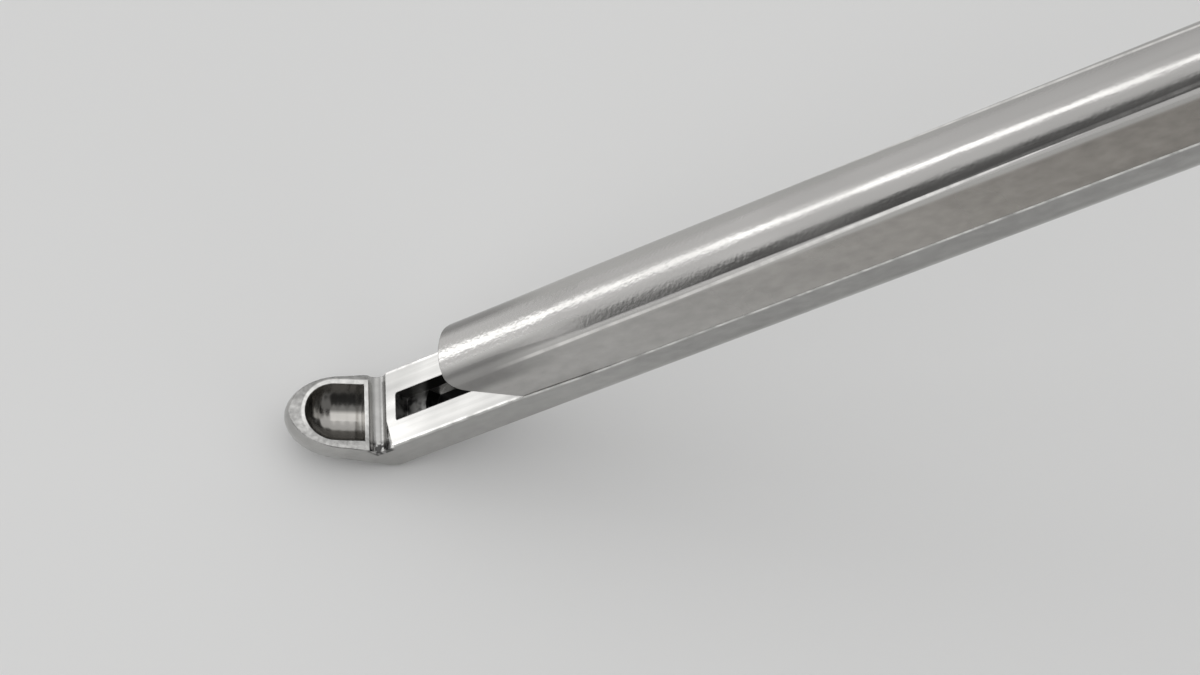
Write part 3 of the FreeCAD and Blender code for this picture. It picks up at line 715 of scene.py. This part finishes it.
@dataclass
class SliderFinish:
    """Steel of the slider: polished crown with painted shade on its far side and up the shaft,
    worn corners painted bright as highlights, duller flanks, rubbed nose with painted shade on its
    near side.

    Places are in millimetres in the shaft's frame. A loss is what a mask takes off the tone,
    and a noise is given by its scale and its detail.
    """

    maker: SteelMaker
    flank_side: Pair = (1.79, 1.89)
    flank_level: Pair = (2.92, 2.72)
    flank_tone: float = 0.86
    flank_rougher: float = 0.10
    film: Pair = (-12.0, -52.0)
    film_loss: float = 0.32
    mottle: float = 0.30
    mottle_detail: float = 8.0
    # painted shade: the crown is darker on its far side and further up the shaft
    far_side: Pair = (-0.05, -0.35)
    far_side_painted_shade: float = 0.07
    far_crown: Pair = (-24.0, -50.0)
    far_crown_painted_shade: float = 0.13
    # worn corners, partly real wear and partly a painted highlight
    corner_side: float = 1.82
    corner_level: float = 2.90
    corner_bend: float = -22.0
    corner_slope: float = 0.0132
    corner_width: float = 0.14
    corner_wear: float = 0.6
    corner_painted_highlight: float = 1.65
    # painted shade on the near side of the nose
    nose_run: Pair = (-15.0, -9.5)
    nose_side: Pair = (0.75, 1.25)
    nose_level: Pair = (1.5, 2.3)
    nose_painted_shade: float = 0.42
    satin: Pair = (-34.0, -14.0)
    satin_rougher: float = 0.03
    pit_noise: Pair = (5.0, 2.0)
    pit_height: float = 0.4
    satin_pit_height: float = 1.1
    rubbed_run: Pair = (-19.0, -11.0)
    rubbed_side: Pair = (0.55, 1.0)
    rubbed_rougher: float = 0.20

    def build(self) -> bpy.types.Material:
        """Make the slider's material.

        Returns:
            The material.
        """
        sheet = self.maker.start("slider_steel", Finish.CROWN, self.maker.shaft.lay())
        nodes = sheet.nodes
        x, y, z = nodes.split(sheet.vector)
        side = nodes.size(y)
        flank = nodes.product(nodes.fade(side, self.flank_side), nodes.fade(z, self.flank_level))
        film = nodes.fade(x, self.film)
        # painted shade on the crown's far side and further up the shaft
        crown_tone = nodes.line(nodes.fade(y, self.far_side), -self.far_side_painted_shade, 1.0)
        crown_tone = nodes.line(nodes.fade(x, self.far_crown), -self.far_crown_painted_shade, crown_tone)
        flank_tone = nodes.line(film, -self.film_loss, self.flank_tone)
        mottle = nodes.minus(sheet.mottle(self.mottle_detail), NOISE_MIDDLE)
        flank_tone = nodes.line(mottle, self.mottle, flank_tone)
        # painted shade on the near side of the nose
        nose = nodes.product(nodes.fade(x, self.nose_run), nodes.fade(side, self.nose_side),
                             nodes.fade(z, self.nose_level))
        tone = nodes.blend(flank, crown_tone, flank_tone)
        tone = nodes.product(tone, nodes.line(nose, -self.nose_painted_shade, 1.0))
        # worn corners painted bright as a highlight
        corner = nodes.product(self.corner(sheet, x), nodes.minus(1.0, nose))
        tone = nodes.blend(corner, tone, self.corner_painted_highlight)
        self.maker.color(sheet, tone, nodes.product(flank, film))
        self.finish_surface(sheet, x, y, flank)
        return sheet.material

    def corner(self, sheet: Sheet, x: Socket) -> Socket:
        """Mask of the worn corners, painted bright as a highlight, which draw in and rise up the
        shaft.

        Args:
            sheet: the material.
            x: place along the shaft.

        Returns:
            The mask.
        """
        nodes = sheet.nodes
        back = nodes.math("MINIMUM", nodes.minus(x, self.corner_bend), 0.0)
        return sheet.arris(nodes.line(back, self.corner_slope, self.corner_side),
                           nodes.line(back, -self.corner_slope, self.corner_level),
                           self.corner_width, self.corner_wear)

    def finish_surface(self, sheet: Sheet, x: Socket, y: Socket, flank: Socket) -> None:
        """Roughen the flanks and the rubbed nose, and pit the crown finely towards the nose.

        Args:
            sheet: the material.
            x: place along the shaft.
            y: place across it.
            flank: mask of the flanks.
        """
        nodes = sheet.nodes
        satin = nodes.fade(x, self.satin)
        pits = nodes.product(nodes.noise(sheet.vector, *self.pit_noise),
                             nodes.line(satin, self.satin_pit_height, self.pit_height))
        rougher = nodes.line(satin, self.satin_rougher, nodes.product(flank, self.flank_rougher))
        rubbed = nodes.product(nodes.fade(x, self.rubbed_run), nodes.fade(y, self.rubbed_side))
        self.maker.surface(sheet, nodes.line(rubbed, self.rubbed_rougher, rougher), pits)


@dataclass
class JawPlace:
    """Where a point lies on the footplate's slanted face, in millimetres.

    It is counted up the face from its foot, down into it, and outward from the middle of the
    D-shaped hollow.
    """

    up_face: Socket
    depth: Socket
    outward: Socket


@dataclass
class LowerFinish:
    """Steel of the lower shaft: bright ground top with worn edges painted bright as highlights,
    dull sides, slot and notch painted dark as shade, milled hollow and rim with painted shade.

    Places are in millimetres in the shaft's frame. A loss is what a mask takes off the tone,
    and a noise is given by its scale and its detail.
    """

    maker: SteelMaker
    top_level: Pair = (-0.05, -0.015)
    top_end: Pair = (0.03, 0.0)
    top_tone: float = 0.58
    top_grain: float = 0.6
    top_smoother: float = 0.02
    side_tone: float = 0.62
    side_mottle: float = 0.28
    side_film: Pair = (-12.0, -26.0)
    side_film_loss: float = 0.15
    mottle_detail: float = 7.0
    # painted shade in the slot, lighter on its ledge
    slot_side: Pair = (0.84, 0.81)
    slot_level: Pair = (-0.03, -0.10)
    slot_front: Pair = (-0.63, -0.66)
    slot_painted_shade: float = 0.06
    slot_rougher: float = 0.2
    ledge_run: Pair = (-2.15, -1.95)
    ledge_noise: Pair = (1.6, 3.0)
    ledge_range: Pair = (0.35, 0.62)
    ledge_painted_shade: float = 0.5
    jaw_angle: float = math.radians(40)
    face_foot: Pair = (0.88, 0.44)
    face_skin: Pair = (0.05, 0.02)
    face_start: Pair = (-0.05, 0.0)
    bend_from: float = 1.72
    speckle: float = 0.9
    speckle_noise: Pair = (3.2, 3.0)
    rim_tone: float = 0.72
    # painted shade on the rim's near side
    rim_near: Pair = (0.4, 1.3)
    rim_near_painted_shade: float = 0.56
    rim_line: float = 1.93
    # painted shade on the rolled metal beyond the rim
    rolled_from: Pair = (0.0, 0.12)
    rolled_painted_shade: float = 0.22
    roll_height: float = 40.0
    cup_mouth: Pair = (0.01, 0.04)
    cup_floor: Pair = (1.32, 1.29)
    cup_side: Pair = (1.74, 1.71)
    cup_foot: Pair = (0.12, 0.16)
    cup_tone: float = 0.86
    # painted shade inside the hollow: darker far wall, duller near wall
    cup_near: Pair = (0.1, 1.3)
    cup_near_painted_shade: float = 0.22
    cup_far: Pair = (-0.35, -0.65)
    cup_far_painted_shade: float = 0.24
    cup_warmth: float = 0.5
    ridge_pitch: float = 0.52
    ridge_height: float = 0.9
    # painted shade in the notch at the groove's near end
    notch_run: Pair = (-0.1, 1.1)
    notch_side: Pair = (1.5, 1.9)
    notch_level: Pair = (-0.5, 0.42)
    notch_soft: Pair = (0.2, 0.1)
    notch_noise: Pair = (2.4, 2.0)
    notch_range: Pair = (0.62, 0.5)
    notch_painted_shade: float = 0.12
    # worn top edges, partly real wear and partly a painted highlight
    edge_level: float = -0.05
    edge_width: float = 0.2
    edge_wear: float = 1.0
    edge_painted_highlight: float = 1.5
    edge_end: Pair = (0.0, -0.1)
    widening: Pair = (-8.3, -14.0)
    half_widths: Pair = (2.25, 2.4)

    def build(self) -> bpy.types.Material:
        """Make the lower shaft's material.

        Returns:
            The material.
        """
        sheet = self.maker.start("shaft_steel", Finish.GROUND, self.maker.shaft.lay())
        nodes = sheet.nodes
        x, y, z = nodes.split(sheet.vector)
        jaw = self.jaw_place(nodes, x, y, z)
        top = nodes.product(nodes.fade(z, self.top_level), nodes.fade(x, self.top_end))
        slot = nodes.product(nodes.fade(nodes.size(y), self.slot_side),
                             nodes.fade(z, self.slot_level), nodes.fade(x, self.slot_front))
        cup = nodes.product(nodes.fade(jaw.depth, self.cup_mouth),
                            nodes.fade(jaw.depth, self.cup_floor),
                            nodes.fade(jaw.outward, self.cup_side),
                            nodes.fade(jaw.up_face, self.cup_foot))
        face = nodes.product(nodes.fade(nodes.size(jaw.depth), self.face_skin),
                             nodes.fade(jaw.up_face, self.face_start))
        past_rim = nodes.past(jaw.outward, self.rim_line)
        rolled = nodes.product(face, nodes.fade(past_rim, self.rolled_from))
        tone = self.shaft_tone(sheet, x, top)
        tone = self.face_tone(sheet, y, tone, face, rolled)
        # painted shade inside the hollow
        tone = nodes.blend(cup, tone, self.cup_painted_shade(nodes, y))
        # the slot is painted dark as shade, less dark in patches on its ledge
        patchy = nodes.fade(nodes.noise(sheet.vector, *self.ledge_noise), self.ledge_range)
        ledge = nodes.product(nodes.fade(x, self.ledge_run), patchy)
        tone = nodes.blend(slot, tone, nodes.blend(ledge, self.slot_painted_shade, self.ledge_painted_shade))
        # painted shade in the notch
        tone = nodes.blend(self.notch(sheet, x, y, z), tone, self.notch_painted_shade)
        # worn top edges painted bright as a highlight
        tone = nodes.blend(self.worn_edge_highlight(sheet, x), tone, self.edge_painted_highlight)
        self.maker.color(sheet, tone, nodes.product(cup, self.cup_warmth))
        turns = nodes.product(jaw.up_face, 2 * math.pi / self.ridge_pitch)
        ridges = nodes.product(cup, nodes.math("SINE", turns), self.ridge_height)
        relief = nodes.line(nodes.product(rolled, past_rim), -self.roll_height, ridges)
        rougher = nodes.line(top, -self.top_smoother, nodes.product(slot, self.slot_rougher))
        self.maker.surface(sheet, rougher, relief)
        return sheet.material

    def jaw_place(self, nodes: Nodes, x: Socket, y: Socket, z: Socket) -> JawPlace:
        """Turn a place in the shaft's frame into one on the slanted face.

        Args:
            nodes: the material's tree.
            x: place along the shaft.
            y: place across it.
            z: place over the sliding plane.

        Returns:
            The place on the face.
        """
        out_x = nodes.minus(x, self.face_foot[0])
        out_z = nodes.minus(z, self.face_foot[1])
        sine, cosine = math.sin(self.jaw_angle), math.cos(self.jaw_angle)
        up_face = nodes.plus(nodes.product(out_x, sine), nodes.product(out_z, cosine))
        depth = nodes.minus(nodes.product(out_x, cosine), nodes.product(out_z, sine))
        return JawPlace(up_face, depth, nodes.distance(y, nodes.past(up_face, self.bend_from)))

    def shaft_tone(self, sheet: Sheet, x: Socket, top: Socket) -> Socket:
        """Tone of the mottled sides and of the ground top with its streaks.

        Args:
            sheet: the material.
            x: place along the shaft.
            top: mask of the ground top.

        Returns:
            The tone.
        """
        nodes = sheet.nodes
        sides = nodes.line(nodes.fade(x, self.side_film), -self.side_film_loss, self.side_tone)
        sides = nodes.line(sheet.mottle(self.mottle_detail), self.side_mottle, sides)
        streaks = nodes.line(sheet.grain.outputs["Shade"], self.top_grain, self.top_tone)
        return nodes.blend(top, sides, streaks)

    def face_tone(self, sheet: Sheet, y: Socket, tone: Socket, face: Socket,
                  rolled: Socket) -> Socket:
        """Add the tone of the footplate's rim, with painted shade on its near side, and the
        painted shade of the rolled metal beyond it.

        Args:
            sheet: the material.
            y: place across the shaft.
            tone: tone of the other places.
            face: mask of the whole face.
            rolled: mask of the face beyond the rim.

        Returns:
            The tone with the face in it.
        """
        nodes = sheet.nodes
        speckle = nodes.noise(sheet.vector, *self.speckle_noise)
        # rim with painted shade on its near side, and the rolled metal painted dark as shade
        rim = nodes.line(nodes.fade(y, self.rim_near), -self.rim_near_painted_shade, self.rim_tone)
        tone = nodes.blend(face, tone, nodes.line(speckle, self.speckle, rim))
        return nodes.blend(rolled, tone, nodes.line(speckle, self.speckle, self.rolled_painted_shade))

    def cup_painted_shade(self, nodes: Nodes, y: Socket) -> Socket:
        """Painted shade inside the hollow: dark on its far wall, duller towards the near one."""
        near = nodes.line(nodes.fade(y, self.cup_near), -self.cup_near_painted_shade, self.cup_tone)
        return nodes.blend(nodes.fade(y, self.cup_far), near, self.cup_far_painted_shade)

    def notch(self, sheet: Sheet, x: Socket, y: Socket, z: Socket) -> Socket:
        """Mask of the painted shade in the groove's near end, broken up by noise.

        Args:
            sheet: the material.
            x: place along the shaft.
            y: place across it.
            z: place over the sliding plane.

        Returns:
            The mask.
        """
        nodes = sheet.nodes
        soft_run, soft_level = self.notch_soft
        broken_shade = nodes.fade(nodes.noise(sheet.vector, *self.notch_noise), self.notch_range)
        return nodes.product(nodes.band(x, self.notch_run, soft_run),
                             nodes.fade(y, self.notch_side),
                             nodes.band(z, self.notch_level, soft_level), broken_shade)

    def worn_edge_highlight(self, sheet: Sheet, x: Socket) -> Socket:
        """Mask of the worn edges of the top, painted bright as a highlight, which part where the
        shaft widens.

        Args:
            sheet: the material.
            x: place along the shaft.

        Returns:
            The mask.
        """
        nodes = sheet.nodes
        narrow, wide = self.half_widths
        half = nodes.line(nodes.fade(x, self.widening), wide - narrow, narrow)
        edge = sheet.arris(half, self.edge_level, self.edge_width, self.edge_wear)
        return nodes.product(edge, nodes.fade(x, self.edge_end))


@dataclass
class Shafts:
    """Fixed lower shaft, slider and the keels between them."""

    maker: SteelMaker
    # painted shade on the keels, which sit in the slot
    keel_painted_shade: float = 0.42
    keel_rougher: float = 0.1

    def dress(self, pieces: dict[str, bpy.types.Object]) -> None:
        """Give the shafts their ground and polished steel.

        Args:
            pieces: the model's pieces by name.
        """
        coat(pieces["upper_shaft"], SliderFinish(self.maker).build())
        coat(pieces["lower_shaft"], LowerFinish(self.maker).build())
        # keels toned darker as painted shade where they sit in the slot
        keel = self.maker.plain("keel_steel", Finish.GROUND, self.maker.shaft.lay(),
                                self.keel_painted_shade, self.keel_rougher)
        for name in ("front_keel", "rear_keel"):
            coat(pieces[name], keel)


@dataclass
class Handles:
    """Rear and front handles, with the leans of their grips."""

    maker: SteelMaker
    rear_lean: float = math.radians(-142)
    front_lean: float = math.radians(62)

    def dress(self, pieces: dict[str, bpy.types.Object]) -> None:
        """Give each handle satin steel with the grain along it.

        Args:
            pieces: the model's pieces by name.
        """
        for name, lean in (("rear_handle", self.rear_lean), ("front_handle", self.front_lean)):
            low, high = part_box(name)
            lay = Lay((0, lean, 0), (low + high) / 2)
            coat(pieces[name], self.maker.plain(name + "_steel", Finish.GRIP, lay))


@dataclass
class Fasteners:
    """Screws, pins, nut and dowels, with places from the pivot in metres."""

    maker: SteelMaker
    across: Triple = (math.radians(90), 0, 0)
    guide_place: Pair = (0.026, 0.0272)
    pins_place: Pair = (0.0132, 0.018)
    rear_screw_place: Pair = (-0.03773, -0.06773)
    front_screw_place: Pair = (0.00844, -0.06227)
    rear_out: float = math.radians(103.4)
    front_out: float = math.radians(-98.5)

    def dress(self, pieces: dict[str, bpy.types.Object]) -> None:
        """Give each fastener steel turned in rings round its own axis.

        Args:
            pieces: the model's pieces by name.
        """
        shaft = self.maker.shaft
        lean = shaft.lean()
        for name in ("pivot_screw", "pivot_nut", "link_screw"):
            low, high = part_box(name)
            self.turned(pieces[name], self.across, (low + high) / 2)
        self.turned(pieces["guide_screw"], (0, lean, 0), shaft.beside_pivot(*self.guide_place))
        self.turned(pieces["shaft_pins"], self.across, shaft.beside_pivot(*self.pins_place))
        for side, out, place in (("rear", self.rear_out, self.rear_screw_place),
                                 ("front", self.front_out, self.front_screw_place)):
            for kind in ("_spring_screw", "_spring_dowel"):
                self.turned(pieces[side + kind], (0, lean + out, 0), shaft.beside_pivot(*place))

    def turned(self, piece: bpy.types.Object, turn: Triple, spot: Vector) -> None:
        """Dress one fastener."""
        lay = Lay(turn, spot, ringed=True)
        coat(piece, self.maker.plain(piece.name + "_steel", Finish.TURNED, lay))


@dataclass
class LeafSprings:
    """The two bowed leaves between the handles, which flex as the handle is squeezed.

    Places are from the pivot in metres.
    """

    maker: SteelMaker
    meeting: Pair = (-0.0135, -0.034)
    rear_root: Pair = (-0.0358, -0.0622)
    front_root: Pair = (0.0070, -0.0566)
    bend_span: float = 2.0
    weld: float = 0.000002
    smooth_angle: float = math.radians(30)

    def build(self, pieces: dict[str, bpy.types.Object]) -> None:
        """Copy both leaves as new pieces in spring steel and hide the model's own.

        Args:
            pieces: the model's pieces by name.
        """
        shaft = self.maker.shaft
        tip = shaft.beside_pivot(*self.meeting)
        material = self.maker.plain("spring_steel", Finish.SPRING, shaft.lay())
        plan = (("rear", self.rear_root, "frame", "squeeze_handle"),
                ("front", self.front_root, "squeeze_handle", "frame"))
        for side, root, own, other in plan:
            start = shaft.beside_pivot(*root)
            leaf = self.copy_leaf(pieces[side + "_leaf_spring"], side + "_leaf")
            coat(leaf, material)
            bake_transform(leaf)
            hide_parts(side + "_leaf_spring")

    def copy_leaf(self, node: bpy.types.Object, name: str) -> bpy.types.Object:
        """Copy a leaf as one closed, smooth-shaded mesh.

        Args:
            node: the model's leaf.
            name: the new piece's name.

        Returns:
            The new piece.
        """
        bpy.ops.object.select_all(action="DESELECT")
        node.select_set(True)
        bpy.context.view_layer.objects.active = node
        bpy.ops.object.duplicate()
        leaf = bpy.context.object
        leaf.name = name
        bpy.ops.object.parent_clear(type="CLEAR_KEEP_TRANSFORM")
        bpy.ops.object.transform_apply(location=True, rotation=True, scale=True)
        bpy.ops.object.mode_set(mode="EDIT")
        bpy.ops.mesh.select_all(action="SELECT")
        bpy.ops.mesh.remove_doubles(threshold=self.weld)
        bpy.ops.object.mode_set(mode="OBJECT")
        bpy.ops.object.shade_smooth_by_angle(angle=self.smooth_angle)
        return leaf


@dataclass(frozen=True)
class Patch:
    """A soft-edged part of the room: degrees round and over the floor, brightness and slant."""

    azimuth: Pair
    height: Pair
    soft: Pair
    level: float
    slant: float = 0.0


ROOM: dict[str, Patch] = {
    "far side": Patch(azimuth=(-170, -62), height=(-20, 50), soft=(30, 20), level=0.66),
    "dark doorway": Patch(azimuth=(12.5, 34), height=(10, 54), soft=(9, 4), level=0.11, slant=0.3),
    "dark cabinet": Patch(azimuth=(78, 128), height=(10, 54), soft=(10, 6), level=0.09),
    "window": Patch(azimuth=(-27, -19.5), height=(5, 44), soft=(4, 6), level=2.2),
}


@dataclass
class Stage:
    """Pale floor, room and the light from above."""

    floor_size: float = 8.0
    floor_place: Pair = (0.1, 0.0)
    floor_gap: float = 0.00002
    floor_color: Triple = (0.80, 0.80, 0.795)
    floor_roughness: float = 0.7
    floor_specular: float = 0.1
    backdrop: float = 0.66
    wall: float = 0.78
    overhead: float = 1.15
    overhead_from: Pair = (50.0, 60.0)

    def build(self) -> None:
        """Lay the floor and set the room."""
        low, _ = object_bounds()
        place = (*self.floor_place, low[2] - self.floor_gap)
        bpy.ops.mesh.primitive_plane_add(size=self.floor_size, location=place)
        floor = bpy.context.object
        floor.name = "floor"
        material = bpy.data.materials.new("floor_paper")
        material.use_nodes = True
        shader = material.node_tree.nodes["Principled BSDF"]
        shader.inputs["Base Color"].default_value = (*self.floor_color, 1)
        shader.inputs["Roughness"].default_value = self.floor_roughness
        shader.inputs["Specular IOR Level"].default_value = self.floor_specular
        coat(floor, material)
        floor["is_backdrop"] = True
        self.room()

    def room(self) -> None:
        """Set the world: a plain backdrop for the camera, and a room that lights and shines."""
        world = bpy.data.worlds.new("studio")
        bpy.context.scene.world = world
        world.use_nodes = True
        nodes = Nodes(world.node_tree)
        back = world.node_tree.nodes["Background"]
        x, y, z = nodes.split(nodes.add("TexCoord").outputs["Generated"])
        azimuth = nodes.math("DEGREES", nodes.math("ARCTAN2", y, x))
        height = nodes.math("DEGREES", nodes.math("ARCSINE", z))
        level = nodes.blend(nodes.fade(height, self.overhead_from), self.wall, self.overhead)
        for name, patch in ROOM.items():
            slanted = nodes.line(height, patch.slant, azimuth)
            mask = nodes.product(nodes.band(slanted, patch.azimuth, patch.soft[0]),
                                 nodes.band(height, patch.height, patch.soft[1]))
            level = nodes.blend(mask, level, patch.level)
            LOG.info("room has its %s", name)
        seen = nodes.add("LightPath").outputs["Is Camera Ray"]
        nodes.join(nodes.blend(seen, level, self.backdrop), back.inputs["Strength"])
        back.inputs["Color"].default_value = (1, 1, 1, 1)


@dataclass
class PhotoCamera:
    """Camera at the photograph's place, given in the shaft's frame in metres."""

    shaft: ShaftFrame
    place: Triple = (-0.09909, 0.06636, 0.11200)
    aim: Triple = (-0.01493, 0.00059, 0.0)
    roll: float = math.radians(-0.5)
    lens: float = 89.34
    sensor: float = 36.0
    clip_start: float = 0.01

    def build(self) -> None:
        """Add the camera and make it the scene's."""
        data = bpy.data.cameras.new("photo_camera")
        data.lens = self.lens
        data.sensor_width = self.sensor
        data.clip_start = self.clip_start
        camera = bpy.data.objects.new("photo_camera", data)
        bpy.context.collection.objects.link(camera)
        place = self.shaft.point(*self.place)
        look = self.shaft.point(*self.aim) - place
        turn = look.to_track_quat("-Z", "Y").to_matrix().to_4x4()
        roll = Matrix.Rotation(self.roll, 4, "Z")
        camera.matrix_world = Matrix.Translation(place) @ turn @ roll
        bpy.context.scene.camera = camera
        LOG.info("camera at %s", tuple(round(v, 4) for v in place))


def main() -> None:
    """Load the model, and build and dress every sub-assembly."""
    logging.basicConfig(level=logging.INFO, format="%(name)s: %(message)s")
    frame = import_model()
    bpy.ops.object.select_all(action="DESELECT")
    pieces = frame["nodes"]
    shaft = ShaftFrame.from_joints(frame["joints"])
    SharedEffects().build()
    maker = SteelMaker(shaft)
    Shafts(maker).dress(pieces)
    Handles(maker).dress(pieces)
    Fasteners(maker).dress(pieces)
    LeafSprings(maker).build(pieces)
    Stage().build()
    PhotoCamera(shaft).build()
    bpy.context.scene.view_settings.view_transform = "Standard"


if __name__ == "__main__":
    main()
